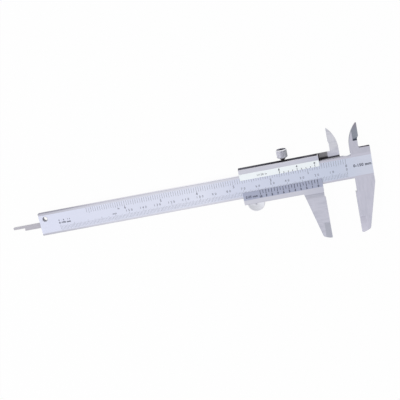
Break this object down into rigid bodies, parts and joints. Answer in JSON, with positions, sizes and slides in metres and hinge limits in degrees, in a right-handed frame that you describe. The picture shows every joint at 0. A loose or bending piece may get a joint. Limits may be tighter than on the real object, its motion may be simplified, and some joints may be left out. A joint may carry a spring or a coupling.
{
  "type": "left-handed vernier caliper",
  "caption": "Sliding-jaw vernier caliper laid out for the left hand, with outside jaws, inside jaws, a depth rod and a knurled lock knob.",
  "frame": {"origin": "On the front of the graduated beam, on the beam's centre line, level with the fixed outside measuring face. The caliper lies on its back with the jaws 20.2 mm open.", "axes": "+X runs along the beam towards the fixed jaws, +Y across the beam towards the inside jaws, +Z out of the graduated front."},
  "size_m": [0.2515, 0.0752, 0.0071],
  "materials": {
    "satin_steel": "satin plated, hardened steel with etched black graduations",
    "ground_steel": "fine ground steel, grain along its length",
    "screw_steel": "dark turned steel",
    "bright_steel": "bright turned and knurled steel",
    "gib_bronze": "plain drawn bronze strip",
    "pad_brass": "plain turned brass"
  },
  "bodies": {
    "beam": {"beam": "satin_steel", "end_stop": "satin_steel", "end_stop_screw_top": "screw_steel", "end_stop_screw_bottom": "screw_steel"},
    "slider": {"slider_frame": "satin_steel", "depth_rod": "ground_steel", "gib_strip": "gib_bronze", "gib_screw_left": "screw_steel", "gib_screw_right": "screw_steel", "cover_plate": "satin_steel", "cover_screw_top_left": "screw_steel", "cover_screw_top_right": "screw_steel", "cover_screw_bottom_left": "screw_steel", "cover_screw_bottom_right": "screw_steel", "rod_screw_left": "screw_steel", "rod_screw_right": "screw_steel"},
    "lock_pad": {"lock_pad": "pad_brass"},
    "lock_screw": {"lock_screw": "bright_steel", "lock_knob": "bright_steel"}
  },
  "joints": [
    {"name": "slider_slide", "type": "slide", "parent": "beam", "child": "slider", "axis": [-1, 0, 0], "range_m": [-0.0202, 0.1298]},
    {"name": "pad_slide", "type": "slide", "parent": "slider", "child": "lock_pad", "axis": [0, -1, 0], "range_m": [0, 0.0003]},
    {"name": "lock_turn", "type": "hinge", "parent": "lock_pad", "child": "lock_screw", "pos_m": [-0.0438, 0.0125, -0.0015], "axis": [0, -1, 0], "range_deg": [0, 216]}
  ],
  "couplings": [
    {"joint": "lock_turn", "follows": "pad_slide", "rad_per_m": 12566}
  ]
}
